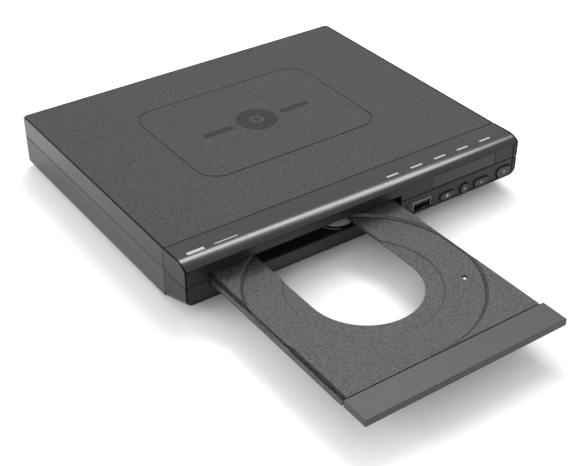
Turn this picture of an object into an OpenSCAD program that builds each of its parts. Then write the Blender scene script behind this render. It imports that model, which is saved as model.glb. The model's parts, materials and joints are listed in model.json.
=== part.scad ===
// Compact tray-loading disc player, drawn with its tray out.
// X is the width, Y runs from the front to the back, Z is up from the surface that it stands on.
// The sub-parts are drawn from the casing's front lip and then moved together, so that the
// origin is at the bottom centre of the whole player with its tray out.

/* [Casing] */
// Width of the casing
case_w = 225; // [215:0.5:280]
// Depth of the casing from the front lip to the back
case_d = 187.3; // [184:0.1:240]
// Height of the casing at its back, without the feet
case_h = 29.8; // [29:0.1:38]
// Thickness of the casing's walls
wall = 2; // [1.6:0.1:2.4]
// Width of every parting line that shows
seam = 0.5; // [0.3:0.05:0.7]
// Height of the level parting line above the casing's underside
seam_h = 17.1; // [16.6:0.1:18]
// Depth of the front bezel, up to the upright parting line
bezel_d = 21.4; // [20:0.1:26]
// Wall left outside the groove along each top edge
edge_land = 0.5; // [0.4:0.05:0.7]
// Width of the groove along each top edge
edge_groove = 0.7; // [0.5:0.05:0.9]
// Height of the overlap behind a parting line
lap = 1.6; // [1:0.1:2]

/* [Front] */
// Rise of the gloss strip's crown above the casing's top
crown = 0.4; // [0:0.05:1]
// Radius of the gloss strip's curve
strip_r = 14; // [12:0.5:18]
// Length of the curve, from the lip to the crown
strip_run = 8.5; // [7:0.1:10]
// Thickness of the gloss strip
strip_t = 1.5; // [1.2:0.1:1.8]
// Height of the front face's lower edge above the casing's underside
chin_h = 5.7; // [5:0.1:7]
// Depth of the slope under the front face
chin_d = 16; // [12:0.5:18]
// Depth that the front face is sunk behind its rim
face_sink = 0.45; // [0.3:0.05:0.7]
// Width of the rim at each end of the front face
face_rim = 1.5; // [1:0.1:2]
// Radius of the front face's lower corners
chin_r = 4.5; // [3:0.1:5]

/* [Display window] */
// Width of the window
window_w = 47.2; // [40:0.1:50]
// Distance from the window's centre to the right side
window_from_right = 40.3; // [36:0.1:44]
// Distance from the window's top to the casing's top
window_top = 4.7; // [4.5:0.1:6]

/* [Buttons] */
// Distance that a button stands proud of the front face
button_proud = 0.9; // [0.6:0.05:1.2]
// Clearance round each button
button_gap = 0.6; // [0.3:0.05:0.7]
// Travel of a button
button_travel = 0.5; // [0.3:0.05:0.6]
// Height of a long button
button_h = 4.2; // [3.6:0.1:5]
// Height of the row of buttons above the casing's underside
button_row = 9.5; // [9:0.1:10]

/* [Media socket] */
// Width of the socket's mouth
media_w = 13.1; // [12.8:0.1:13.6]
// Height of the socket's mouth
media_h = 5.7; // [5.4:0.1:6]
// Distance from the socket's centre to the right side
media_from_right = 70.6; // [68:0.1:74]

/* [Disc tray] */
// Distance from the tray's centre line to the left side
tray_from_left = 76.4; // [75:0.1:80]
// Distance of the disc's centre ahead of the lip with the tray out
tray_out = 45.5; // [40:0.5:50]
// Height of the tray's deck above the casing's floor
deck_up = 15.15; // [15.1:0.05:15.2]
// Diameter of a full-size disc
disc_d = 120; // [100:0.5:120.5]
// Clearance round a disc in its recess
disc_gap = 0.5; // [0.3:0.1:1]
// Depth of the full-size recess
recess_deep = 1.6; // [1.4:0.1:1.8]
// Diameter of a small disc
small_disc_d = 80; // [78:0.5:82]
// Width left between the full-size recess and the outside of each rail
rail_more = 0.6; // [0.4:0.1:0.8]
// Depth of the small recess below the full-size one
small_deep = 1; // [0.6:0.1:1.2]
// Width of each recess's sloping wall
recess_slope = 1.5; // [1:0.1:1.8]
// Half of the width of the opening for the turntable and the pickup
bay_r = 30.8; // [30.5:0.1:32]
// Thickness of the tray's skin
tray_skin = 1.4; // [1.2:0.1:1.5]
// Distance between the full-size recess and the back of the tray's door
nose_wall = 1.6; // [1.4:0.1:3]
// Distance from the disc's centre to the back end of the tray
tray_tail = 75.5; // [74:0.5:80]
// Distance that the door falls short of each rail
door_inset = 0.1; // [0:0.1:0.8]
// Depth of the tray's door
door_d = 15.7; // [12:0.1:18]
// Height of the tray's door
door_h = 3.9; // [3.6:0.1:4.4]
// Rise of the door above the deck
door_up = 0.9; // [0.6:0.1:1]
// Height of the slot that the tray passes through
slot_h = 7.7; // [7.6:0.05:7.8]
// Clearance at each end of the slot
slot_gap = 1; // [0.6:0.1:1.2]

/* [Feet] */
// Height of the feet
foot_h = 4; // [3:0.1:6]
// Diameter of the feet
foot_d = 14; // [10:0.5:16]
// Distance from a foot's centre to the sides
foot_inset = 22; // [18:0.5:26]

/* [Loader] */
// Module of the rack and its pinion
rack_m = 1; // [0.95:0.05:1.05]
// Teeth on the pinion that drives the rack
pinion_n = 13; // [12:1:13]
// Module of the reduction gears
train_m = 0.8; // [0.75:0.05:0.8]
// Teeth on the drive gear's wheel
wheel_n = 26; // [24:2:26]
// Teeth on the pulley's pinion
pulley_n = 12; // [12:2:14]
// Belt radius of the large pulley
pulley_r = 10.5; // [9:0.1:11]
// Belt radius of the motor's pulley
motor_pulley_r = 3; // [2.5:0.1:3.5]
// Backlash on each flank of a tooth
backlash = 0.1; // [0.06:0.01:0.14]
// Distance of the gears' axes behind the lip
gear_y = 24; // [23:0.5:26]
// Radius of the gears' posts
post_r = 1.5; // [1.2:0.1:1.8]
// Running clearance round a pin, a post or a rod
fit = 0.05; // [0.02:0.01:0.1]
// Diameter of the loading motor
motor_d = 24.4; // [20:0.1:25]
// Height of the loading motor
motor_h = 12.3; // [10:0.1:14]

/* [Traverse] */
// Lift of the turntable from its lowered place
lift = 3.35; // [3:0.05:3.5]
// Distance from the turntable's axis to the lift frame's hinge
lift_arm = 70.25; // [68:0.25:72]
// Stroke of the cam slider
cam_stroke = 12; // [10:0.5:14]
// Radius of the hub that centres a disc
hub_r = 7.4; // [7.2:0.05:7.45]
// Radius of the turntable
turntable_r = 14; // [12:0.1:15]
// Radius of the guide rods
rod_r = 1.5; // [1.2:0.1:1.6]
// Stroke of the pickup from the innermost track to the outermost
pickup_stroke = 36; // [34:0.5:36]
// Radius of the lead screw
screw_r = 1.25; // [1:0.05:1.4]

/* [Hidden] */
$fn = 64;

// Casing
side = case_w / 2;
base_z = foot_h;
top_z = foot_h + case_h;
seam_z = foot_h + seam_h;
floor_z = base_z + wall;
roof_z = top_z - wall;
crown_z = top_z + crown;
chin_z = base_z + chin_h;
groove_in = side - edge_land - edge_groove;
face_y = face_sink;
bezel_t = 2.2;
bezel_back = face_y + bezel_t;
recess_r = disc_d / 2 + disc_gap;
tray_nose = recess_r + recess_slope + nose_wall;
door_reach = tray_out + tray_nose + door_d;
rca_out = 7;
back_reach = case_d - wall + rca_out;
frame_y = (back_reach - door_reach) / 2;
corner_r = 1.5;
seam_low = seam_z - seam / 2;
seam_high = seam_z + seam / 2;
bezel_y = bezel_d - seam / 2;
case_y = bezel_d + seam / 2;
lip_t = 0.55;
bezel_top = crown_z - 4;
chin_slope = atan(chin_h / chin_d);
chin_t = 1.2;
tongue_t = 1.1;
slant_x = side - 78.3;
slant_run = 10.2;
groove_deep = 1.2;
plaque_w = 120.6;
plaque_d = 88.8;
plaque_y = 105.9;
plaque_r = 14;
plaque_groove = 0.8;
lap_t = wall * 0.45;
lap_gap = 0.1;
column_r = 3.5;
column_inset = 6.2;
column_y = [31, case_d - 14];
case_screw_r = 1.45;

// Display window and front board
window_x = side - window_from_right;
window_z = [seam_z + seam / 2, top_z - window_top];
board_t = 1.6;
front_board_y = 14;
front_board_x = [side - 82, side - 4];
front_board_z = [floor_z + 1, roof_z - 1.7];

// Buttons: name order is stop, play, eject, power
button_x = [side - 53, side - 39.7, side - 27.1, side - 9.5];
button_size = [[10, button_h], [6, 6], [10.4, button_h], [10.6, 6.2]];
button_z = base_z + button_row;
power_up = 0.7;
flange_more = button_gap + 0.6;
flange_t = 1;
switch_w = 6;
switch_t = 3.4;

// Media socket
media_x = side - media_from_right;
media_z = base_z + button_row + 0.1;
media_depth = 14;
media_shell = 0.3;
media_gap = 0.25;

// Disc tray
tray_x = tray_from_left - side;
tray_y = -tray_out;
deck_z = floor_z + deck_up;
disc_z = deck_z - recess_deep;
small_z = disc_z - small_deep;
small_r = small_disc_d / 2;
rail_half = recess_r + rail_more;
door_w = 2 * (rail_half - door_inset);
deck_left = rail_half - 3.1;
deck_right = rail_half - 1.5;
rail_lip = 1.3;
right_lip = 1;
rail_top = disc_z;
tray_floor = 0.7;
rail_z = small_z - tray_floor;
channel_t = 0.7;
door_groove = 1.3;
door_z = deck_z + door_up - door_h;
tray_travel = door_reach + face_y;
spindle_y = tray_y + tray_travel;
slot_z = rail_z - 0.2;
slot_half = rail_half + slot_gap;
pinhole_w = 3;
pinhole = [45.8, -24.1];

// Rack and gears
addendum = 0.75;
dedendum = 1;
pressure = 20;
rack_x = rail_half - 5.1;
rack_z = [rail_z - 2.6, rail_z + tray_floor];
rack_back = 2.9;
pinion_r = rack_m * pinion_n / 2;
wheel_r = train_m * wheel_n / 2;
pulley_pinion_r = train_m * pulley_n / 2;
drive_x = tray_x + rack_x - pinion_r;
pulley_x = drive_x - wheel_r - pulley_pinion_r;
rack_first = gear_y + tray_out;
rack_last = gear_y - spindle_y;
plate_z = floor_z + 0.2;
plate_t = 1.5;
deckplate_z = plate_z + plate_t;
belt_z = deckplate_z + 0.6;
belt_w = 1.6;
belt_t = 1;
pulley_t = 2.4;
wheel_z = belt_z + pulley_t + 0.5;
wheel_t = 2.2;
motor_x = tray_x + rail_half + 17;
motor_y = 35;
pinion_top = rail_z - 0.4;
wing_z = belt_z + pulley_t + 0.4;
wing_t = 1.5;

// Loader chassis
chassis_in = rail_half + 0.5;
chassis_out = chassis_in + 2.4;
chassis_y = [chin_d - 1.5, spindle_y + tray_tail + 5];
chassis_top = deck_z + 4.5;
belt_dx = motor_x - pulley_x;
belt_dy = motor_y - gear_y;
belt_length = sqrt(belt_dx * belt_dx + belt_dy * belt_dy);
belt_dip = atan2(belt_dy, belt_dx) + asin((pulley_r - motor_pulley_r) / belt_length);
belt_low = gear_y + (tray_x + chassis_in - pulley_x) * tan(belt_dip) - (pulley_r + belt_t) / cos(belt_dip);
wing_y = [min(motor_y - motor_d / 2, belt_low - 0.5) - wing_t, motor_y + motor_d / 2 + wing_t];
pit_half = 31.2;
ledge_t = 1.4;
ear_y = [spindle_y - 19.75, spindle_y + 50.25];
ear_z = plate_z + 7;
ear_t = 1.8;

// Traverse, drawn level in its raised place
seat_z = disc_z + 0.9;
hub_h = 2;
lift_angle = asin(lift / lift_arm);
hinge_y = spindle_y + lift_arm;
hinge_z = seat_z - 8;
hinge_r = 1.5;
frame_half = 30.2;
frame_bar = 6.2;
hinge_bar = 4.4;
frame_z = seat_z - 9.25;
frame_t = 2.5;
follower_z = seat_z - 5.85;
follower_r = 1.1;
cam_y = 43.6;
cam_t = 1.6;
cam_z = [deckplate_z + 0.05, deckplate_z + 9.05];
cam_gap = 0.15;
frame_y0 = cam_y + cam_t + 1.3;
frame_y1 = hinge_y + 5;
pit_y = [frame_y0 - 0.1, frame_y1 + 0.5];
follower_x = 18;
damper_x = 24.4;
damper_y = [spindle_y - 9.75, spindle_y + 63];
damper_r = 3.5;
waist_r = 2.4;
damper_z = frame_z + frame_t;
damper_flange = 1.2;
traverse_z = damper_z + damper_flange;
traverse_t = 1.2;
rod_z = traverse_z - rod_r - fit;
rod_x = [-17.5, 13.5];
rod_y = [spindle_y + 9, hinge_y];
bay_half = 20.6;
bay_y = [spindle_y + 12.6, spindle_y + 67.2];
lens_y = spindle_y + 22;
lens_r = 3.2;
sled_front = 8.8;
sled_back = 8.4;
sled_z = [rod_z - rod_r - 0.7, rod_z + 4.2];
feed_x = 19.2;
feed_r = 3.8;
feed_y = [spindle_y - 4, spindle_y + 10.6];
motor_hole_r = 8;

// Clamp
bridge_z = chassis_top;
bridge_t = 1.6;
bridge_half_y = 17;
puck_z = deck_z + 0.3;
puck_r = 14;
neck_r = 11;
magnet_r = 7;

// Boards in the right-hand bay
bay_left = tray_x + chassis_out + 1.2;
main_y = [case_d - 86, case_d - wall - 4.4];
main_x = [bay_left + 8, side - wall - 9];
power_y = [22, case_d - 92];
power_x = [motor_x + motor_d / 2 + 3, side - wall - 9];
board_z = floor_z + 4;
boss_r = 3;
screw_r3 = 1.2;
panel_t = 1.2;
panel_y = case_d - wall - panel_t;
panel_x = [bay_left - 8, side - 7];
panel_z = [floor_z + 1.6, roof_z - 1.6];
panel_rim = 2;
panel_hole = 0.4;
rca_r = 4.15;
rca_x = [for (i = [0:3]) main_x[0] + 3 + 12 * i];
rca_z = board_z + board_t + 6.5;
video_x = main_x[1] - 9;
video_w = 14.6;
video_h = 5.6;
video_z = board_z + board_t + video_h / 2;
inlet_x = bay_left - 24;
inlet_w = 21;
inlet_h = 12;
inlet_z = rca_z;
foot_x = side - foot_inset;
foot_y = [bezel_d + 9, case_d - 22];
vent_n = 10;
vent_w = 2.2;
vent_l = 18;
vent_pitch = 4.4;
vent_x = power_x[0] + 4;
vent_y = (power_y[0] + power_y[1]) / 2;

module in_frame() {
    translate([0, -frame_y, 0]) children();
}

// Block given by its low and high corners
module block(lo, hi) {
    translate(lo) cube(hi - lo);
}

// Extrusion along X of an outline drawn in Y and Z
module along_x(x0, x1) {
    translate([x0, 0, 0]) rotate([90, 0, 90]) linear_extrude(x1 - x0) children();
}

// Extrusion along Y of an outline drawn in X and Z
module along_y(y0, y1) {
    translate([0, y1, 0]) rotate([90, 0, 0]) linear_extrude(y1 - y0) children();
}

// Long hole or cap with round ends, in the plane of the front face
module obround(w, h) {
    r = min(w, h) / 2;
    if (w > h) {
        square([w - h, h], center = true);
        translate([-(w - h) / 2, 0]) circle(r);
        translate([(w - h) / 2, 0]) circle(r);
    } else circle(r);
}

// Rectangle with rounded corners, its own centre at the origin
module rounded(w, h, r) {
    square([w - 2 * r, h], center = true);
    square([w, h - 2 * r], center = true);
    for (sx = [-1, 1], sy = [-1, 1]) {
        translate([sx * (w / 2 - r), sy * (h / 2 - r)]) circle(r);
    }
}

// Points on an arc, from angle a0 to angle a1
function arc(cx, cy, r, a0, a1, n) = [for (i = [0:n]) let (a = a0 + (a1 - a0) * i / n)
    [cx + r * cos(a), cy + r * sin(a)]];

// Involute gear outline with stub teeth
function involute(a) = tan(a) - a * PI / 180;
function flank_angle(r, rb) = r <= rb ? 0 : involute(acos(rb / r)) * 180 / PI;
function tooth_radii(rf, rb, ra) = [rf, max(rf + 0.05, rb), (max(rf + 0.05, rb) + ra) / 2, ra];
function gear_points(m, n) = let (
    rp = m * n / 2,
    rb = rp * cos(pressure),
    ra = rp + addendum * m,
    rf = rp - dedendum * m,
    half = 90 / n + involute(pressure) * 180 / PI - backlash / rp * 180 / PI,
    radii = tooth_radii(rf, rb, ra))
    [for (i = [0:n - 1]) each [
        for (k = [0:3]) let (a = 360 * i / n - half + flank_angle(radii[k], rb))
            [radii[k] * cos(a), radii[k] * sin(a)],
        for (k = [3:-1:0]) let (a = 360 * i / n + half - flank_angle(radii[k], rb))
            [radii[k] * cos(a), radii[k] * sin(a)]]];

// Places children where the lowered traverse stands
module lowered() {
    translate([0, hinge_y, hinge_z]) rotate([lift_angle, 0, 0])
        translate([0, -hinge_y, -hinge_z]) children();
}

// Screw with its head up: z is the underside of the head
module pan_screw(z, shank_r, shank, head_r, head_h) {
    difference() {
        union() {
            translate([0, 0, z]) cylinder(h = head_h, r1 = head_r, r2 = head_r * 0.8);
            translate([0, 0, z - shank]) cylinder(h = shank, r = shank_r);
        }
        for (a = [0, 90]) rotate(a)
            translate([-head_r * 0.55, -0.25, z + head_h * 0.4]) cube([head_r * 1.1, 0.5, head_h]);
    }
}

// Outline of the gloss strip's upper side in Y and Z, down to an offset below it
function strip_curve(t) = let (zc = crown_z - strip_r)
    arc(strip_run, zc, strip_r - t, 90, 90 + asin(min(1, (strip_run - t) / (strip_r - t))), 12);
strip_lip_z = crown_z - strip_r + sqrt(strip_r * strip_r - strip_run * strip_run);

// Plan of the rear casing: straight at the front, with rounded corners at the back
module footprint(inset, y0) {
    intersection() {
        translate([0, case_d / 2 - inset]) rounded(case_w - 2 * inset, case_d, corner_r);
        translate([-side, y0]) square([case_w, case_d]);
    }
}

// Outline of the whole bezel's side in Y and Z, between two heights
module cheek_outline(z0, z1) {
    intersection() {
        polygon(concat([[bezel_y, base_z], [bezel_y, top_z]], strip_curve(0),
            [[0, chin_z], [chin_d, base_z]]));
        translate([-1, z0]) square([bezel_d + 1, z1 - z0]);
    }
}

// Strips inside the bezel's sides that close the upright parting line
module seam_tongues(z0, z1) {
    in = side - wall;
    for (sx = [-1, 1]) scale([sx, 1, 1]) {
        block([in - tongue_t, bezel_y - lap, z0], [in + 0.5, bezel_y, z1]);
        block([in - tongue_t, bezel_y - lap, z0], [in - lap_gap, case_y + lap, z1]);
    }
}

// Strips inside the lower bezel's sides that close the level parting line
module level_tongues() {
    in = side - wall;
    for (sx = [-1, 1]) scale([sx, 1, 1]) {
        block([in - tongue_t, bezel_back + 2, seam_low - lap], [in + 0.5, bezel_y - lap - lap_gap, seam_low]);
        block([in - tongue_t, bezel_back + 2, seam_low - lap],
            [in - lap_gap, bezel_y - lap - lap_gap, seam_high + lap]);
    }
}

// Upright groove beside each end of the front face
module corner_grooves() {
    for (sx = [-1, 1]) {
        x = sx > 0 ? groove_in : -groove_in - edge_groove;
        block([x, -1, chin_z + 0.6 * chin_r], [x + edge_groove, groove_deep, crown_z]);
    }
}

// Sunk area of the front face
module face_recess() {
    low = chin_z + 0.8;
    high = bezel_top + 2;
    along_y(-1, face_sink) translate([0, (low + high) / 2])
        rounded(2 * (groove_in - face_rim), high - low, chin_r - 1);
}

module tray_slot() {
    block([tray_x - slot_half, -1, slot_z], [tray_x + slot_half, bezel_back + 3, slot_z + slot_h]);
}

module top_cover() {
    color("#4a4a4c") in_frame() difference() {
        union() {
            difference() {
                translate([0, 0, seam_high]) linear_extrude(top_z - seam_high) footprint(0, case_y);
                translate([0, 0, seam_high - 1]) linear_extrude(roof_z - seam_high + 1)
                    footprint(wall, case_y - 5);
                translate([0, 0, seam_high - 1]) linear_extrude(lap + lap_gap + 1)
                    footprint(wall - lap_t - lap_gap, case_y - 5);
            }
            for (sx = [-1, 1], y = column_y) {
                translate([sx * (side - column_inset), y, seam_low + 0.1])
                    cylinder(h = roof_z - seam_low, r = column_r);
            }
        }
        for (sx = [-1, 1], y = column_y) {
            translate([sx * (side - column_inset), y, seam_low - 1])
                cylinder(h = roof_z - seam_low - 1, r = case_screw_r + fit);
        }
        for (sx = [-1, 1]) {
            x = sx > 0 ? groove_in : -groove_in - edge_groove;
            block([x, 0, top_z - groove_deep], [x + edge_groove, case_d + 1, top_z + 1]);
        }
        translate([0, plaque_y, top_z - 0.6]) linear_extrude(2) difference() {
            rounded(plaque_w, plaque_d, plaque_r);
            rounded(plaque_w - 2 * plaque_groove, plaque_d - 2 * plaque_groove, plaque_r - plaque_groove);
        }
        rear_opening();
    }
}

// Opening in the casing's back for the rear panel
module rear_opening() {
    block([panel_x[0] + panel_rim, case_d - wall - 1, panel_z[0] + panel_rim],
        [panel_x[1] - panel_rim, case_d + 1, panel_z[1] - panel_rim]);
    block([inlet_x - inlet_w / 2 - panel_hole, case_d - wall - 1, inlet_z - inlet_h / 2 - panel_hole],
        [inlet_x + inlet_w / 2 + panel_hole, case_d + 1, inlet_z + inlet_h / 2 + panel_hole]);
}

module screw_boss(x, y, top) {
    translate([x, y, floor_z - 0.5]) cylinder(h = top - floor_z + 0.5, r = boss_r);
}

module bottom_case() {
    color("#6c6c6e") in_frame() difference() {
        union() {
            difference() {
                union() {
                    translate([0, 0, base_z]) linear_extrude(seam_low - base_z) footprint(0, case_y);
                    translate([0, 0, base_z]) linear_extrude(seam_high + lap - base_z)
                        footprint(wall - lap_t, case_y);
                }
                translate([0, 0, floor_z]) linear_extrude(case_h) footprint(wall, case_y - 5);
            }
            for (sx = [-1, 1], y = column_y) {
                translate([sx * (side - column_inset), y, base_z + 0.5])
                    cylinder(h = seam_low - base_z - 0.5, r = column_r);
            }
            for (p = ear_places()) screw_boss(p[0], p[1], ear_z);
            for (p = board_places()) screw_boss(p[0], p[1], board_z);
            for (sx = [-1, 1], y = [chassis_y[0] + 16, chassis_y[1] - 6]) {
                translate([tray_x + sx * (chassis_in - 4), y, floor_z - 0.5])
                    cylinder(h = plate_z - floor_z + 0.5, r = 4);
            }
        }
        for (sx = [-1, 1], y = column_y) {
            translate([sx * (side - column_inset), y, base_z - 1]) cylinder(h = 4, r = column_r - 0.8);
            translate([sx * (side - column_inset), y, base_z - 1]) cylinder(h = case_h, r = case_screw_r + 0.15);
        }
        for (p = concat(ear_places(), board_places())) {
            translate([p[0], p[1], floor_z]) cylinder(h = case_h, r = screw_r3 + fit);
        }
        for (i = [0:vent_n - 1]) {
            translate([vent_x + i * vent_pitch, vent_y, base_z - 1]) linear_extrude(wall + 2)
                rotate(90) obround(vent_l, vent_w);
        }
        rear_opening();
    }
}

// Screws that hold the loader's ears: X and Y of each
function ear_places() = [for (sx = [-1, 1], y = ear_y)
    [tray_x + sx * (chassis_out + 4), y]];

// Screws that hold the two boards
function board_places() = concat(
    [for (x = [main_x[0] + 4, main_x[1] - 4], y = [main_y[0] + 4, main_y[1] - 16]) [x, y]],
    [for (x = [power_x[0] + 4, power_x[1] - 4], y = [power_y[0] + 4, power_y[1] - 4]) [x, y]]);

module rear_panel() {
    color("#3c3c3e") in_frame() difference() {
        block([panel_x[0], panel_y, panel_z[0]], [panel_x[1], panel_y + panel_t, panel_z[1]]);
        for (x = rca_x) {
            translate([x, panel_y - 1, rca_z]) rotate([-90, 0, 0]) cylinder(h = panel_t + 2, r = rca_r + panel_hole);
        }
        block([video_x - video_w / 2 - panel_hole, panel_y - 1, video_z - video_h / 2 - panel_hole],
            [video_x + video_w / 2 + panel_hole, panel_y + panel_t + 1, video_z + video_h / 2 + panel_hole]);
    }
}

module upper_bezel() {
    edge = side - wall;
    // room for the gloss strip between the cheeks
    strip_room = concat(strip_curve(strip_t + lap_gap), [[-1, bezel_top + lap_gap],
        [-1, crown_z + 2], [bezel_d, crown_z + 2], [bezel_d, top_z - strip_t - lap_gap]]);
    color("#3a3a3c") in_frame() difference() {
        union() {
            along_x(-edge, edge) polygon([[0, seam_high], [0, bezel_top], [bezel_back, bezel_top],
                [5.4, roof_z], [bezel_d - 1, top_z - strip_t - lap_gap], [bezel_d - 1, roof_z - lap_gap],
                [bezel_d + 2.2, roof_z - lap_gap], [bezel_d + 2.2, roof_z - 1.4], [5.4, roof_z - 1.4],
                [bezel_back, bezel_top - 1.7], [bezel_back, seam_high]]);
            for (sx = [-1, 1]) {
                x = sx > 0 ? edge : -side;
                along_x(x, x + wall) cheek_outline(seam_high, crown_z + 1);
            }
            seam_tongues(seam_high, roof_z - lap_gap);
            block([-edge, bezel_back - 0.3, seam_high], [edge, bezel_back + 1.2, seam_high + lap]);
            block([-edge, bezel_back + lap_gap, seam_low - lap], [edge, bezel_back + 1.2, seam_high + lap]);
        }
        along_x(-side + edge_land, side - edge_land) polygon(strip_room);
        corner_grooves();
        face_recess();
        tray_slot();
        block([tray_x - slot_half - 2, bezel_back, seam_low - lap - 1],
            [tray_x + slot_half + 2, bezel_back + 2, seam_high + lap + 1]);
        block([window_x - window_w / 2 - 2, bezel_back, seam_low - lap - 1],
            [window_x + window_w / 2 + 2, bezel_back + 2, seam_high + lap + 1]);
        block([window_x - window_w / 2, -1, seam_low], [window_x + window_w / 2, bezel_back + 1, window_z[1]]);
    }
}

module lower_bezel() {
    edge = side - wall;
    inner = chin_t / cos(chin_slope);
    rise = chin_h / chin_d;
    color("#3a3a3c") in_frame() difference() {
        intersection() {
            union() {
                along_x(-edge, edge) polygon([[0, chin_z], [0, seam_low], [bezel_back, seam_low],
                    [bezel_back, chin_z + inner - rise * bezel_back],
                    [chin_d + (inner - wall) / rise, floor_z], [bezel_y, floor_z], [bezel_y, base_z],
                    [chin_d, base_z]]);
                for (sx = [-1, 1]) {
                    x = sx > 0 ? edge : -side;
                    along_x(x, x + wall) cheek_outline(0, seam_low);
                }
                seam_tongues(floor_z + lap_gap, seam_low);
                level_tongues();
            }
            translate([0, 0, chin_z]) rotate([-chin_slope, 0, 0]) along_y(-case_h, case_h)
                translate([0, case_h]) rounded(case_w, 2 * case_h, chin_r);
        }
        corner_grooves();
        face_recess();
        tray_slot();
        block([tray_x + rack_x - addendum - 0.8, -1, rack_z[0] - 0.4],
            [tray_x + rack_x + rack_back + 0.6, bezel_back + 1, slot_z + 1]);
        along_y(-1, bezel_back + 1) translate([media_x, media_z])
            square([media_w + 2 * media_gap, media_h + 2 * media_gap], center = true);
        for (i = [0:3]) {
            along_y(-1, bezel_back + 1) translate([button_x[i], button_height(i)])
                obround(button_size[i][0] + 2 * button_gap, button_size[i][1] + 2 * button_gap);
        }
        along_y(-1, face_y + 0.8) polygon([[slant_x, seam_low + 1], [slant_x + seam, seam_low + 1],
            [slant_x + seam - slant_run, chin_z - 1], [slant_x - slant_run, chin_z - 1]]);
    }
}

module gloss_strip() {
    under = strip_curve(strip_t);
    color("#1c1c1e") in_frame() along_x(-groove_in, groove_in) polygon(concat(
        [[bezel_y, top_z]], strip_curve(0), [[0, strip_lip_z - lip_t]],
        [for (i = [len(under) - 1:-1:0]) under[i]], [[bezel_y, top_z - strip_t]]));
}

module display_window() {
    half = window_w / 2 - 0.2;
    flange = bezel_back + 0.05;
    color("#2a2a2e", 0.9) in_frame() union() {
        block([window_x - half, face_y + 0.2, window_z[0] + 0.05],
            [window_x + half, flange + 0.4, window_z[1] - 0.2]);
        block([window_x - half - 1.2, flange, window_z[0] - lap],
            [window_x + half + 1.2, flange + 1, window_z[1] - 0.9]);
    }
}

// Height of a button's centre: the power button sits a little higher
function button_height(i) = button_z + (i == 3 ? power_up : 0);

// Button with its cap, its retaining flange and its stem
module button(i, cap_color) {
    size = button_size[i];
    flange_y = bezel_back + 0.1;
    stem_end = front_board_y - switch_t - 0.1;
    color(cap_color) in_frame() translate([button_x[i], 0, button_height(i)]) {
        along_y(face_y - button_proud, flange_y + 0.5) obround(size[0], size[1]);
        along_y(flange_y, flange_y + flange_t)
            obround(size[0] + 2 * flange_more, size[1]);
        along_y(flange_y + flange_t - 0.5, stem_end - button_travel) obround(3, 3);
    }
}

module stop_button() button(0, "#454547");
module play_button() button(1, "#454547");
module eject_button() button(2, "#454547");
module power_button() button(3, "#454547");

module media_socket() {
    y0 = face_y + 0.5;
    color("#b4b4b8") in_frame() translate([media_x, 0, media_z]) difference() {
        along_y(y0, y0 + media_depth) square([media_w, media_h], center = true);
        along_y(y0 - 1, y0 + media_depth - 0.6)
            square([media_w - 2 * media_shell, media_h - 2 * media_shell], center = true);
    }
}

module media_tongue() {
    y0 = face_y + 1.2;
    inside = [media_w / 2 - media_shell - 0.05, media_h / 2 - media_shell - 0.05];
    color("#e8e8ea") in_frame() translate([media_x, 0, media_z]) union() {
        block([-inside[0] + 0.8, y0, inside[1] - 2.4], [inside[0] - 0.8, y0 + media_depth - 2, inside[1] - 0.5]);
        block([-inside[0], y0 + media_depth - 4, -inside[1]], [inside[0], y0 + media_depth - 1.4, inside[1]]);
    }
}

module front_board() {
    hole = 0.3;
    color("#2f5d3a") in_frame() difference() {
        block([front_board_x[0], front_board_y, front_board_z[0]],
            [front_board_x[1], front_board_y + board_t, front_board_z[1]]);
        along_y(front_board_y - 1, front_board_y + board_t + 1) translate([media_x, media_z])
            square([media_w + 2 * hole, media_h + 2 * hole], center = true);
    }
}

module display_module() {
    half = window_w / 2 - 3;
    color("#d8d8d4") in_frame() block([window_x - half, front_board_y - 7.4, window_z[0] + 0.4],
        [window_x + half, front_board_y, window_z[1] - 0.6]);
}

module tact_switches() {
    color("#5a5a5e") in_frame() for (i = [0:3]) {
        translate([button_x[i], 0, button_height(i)]) union() {
            along_y(front_board_y - switch_t, front_board_y) square(switch_w, center = true);
        }
    }
}

// Room above one recess, with its sloping wall
module dish(r, floor_z, rim_z) {
    translate([0, 0, floor_z]) cylinder(h = rim_z - floor_z, r1 = r, r2 = r + recess_slope);
    translate([0, 0, rim_z]) cylinder(h = case_h, r = r + recess_slope);
}

// Opening in the tray for the turntable and the pickup, open at the back
module tray_window() {
    linear_extrude(case_h) union() {
        circle(bay_r);
        translate([-bay_r, 0]) square([2 * bay_r, tray_tail + 1]);
    }
}

module disc_tray() {
    front = -tray_nose + door_groove;
    color("#6e6e70") in_frame() translate([tray_x, tray_y, 0]) difference() {
        union() {
            difference() {
                block([-deck_left, front, rail_z], [deck_right, tray_tail, deck_z]);
                difference() {
                    block([-deck_left + tray_skin, front + tray_skin, rail_z - 1],
                        [deck_right - tray_skin, tray_tail - tray_skin, deck_z - tray_skin]);
                    cylinder(h = case_h, r = recess_r + recess_slope + tray_skin);
                }
            }
            block([-rail_half, front, rail_z], [-deck_left + 1, tray_tail, rail_z + channel_t]);
            block([-rail_half, front, rail_z], [-rail_half + rail_lip, tray_tail, rail_top]);
            block([deck_right - 1, front, rail_z], [rail_half, tray_tail, rail_z + channel_t]);
            block([rail_half - right_lip, front, rail_z], [rail_half, tray_tail, rail_top]);
            block([rack_x + dedendum * rack_m, rack_last - 4 * rack_m, rack_z[0]],
                [rack_x + rack_back, rack_first + 4 * rack_m, rack_z[1]]);
            for (y = [rack_first:-PI * rack_m:rack_last - PI * rack_m]) rack_tooth(y);
        }
        dish(recess_r, disc_z, deck_z);
        dish(small_r, small_z, disc_z);
        tray_window();
        translate([pinhole[0], pinhole[1], 0]) linear_extrude(case_h) square(pinhole_w, center = true);
    }
}

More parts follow.
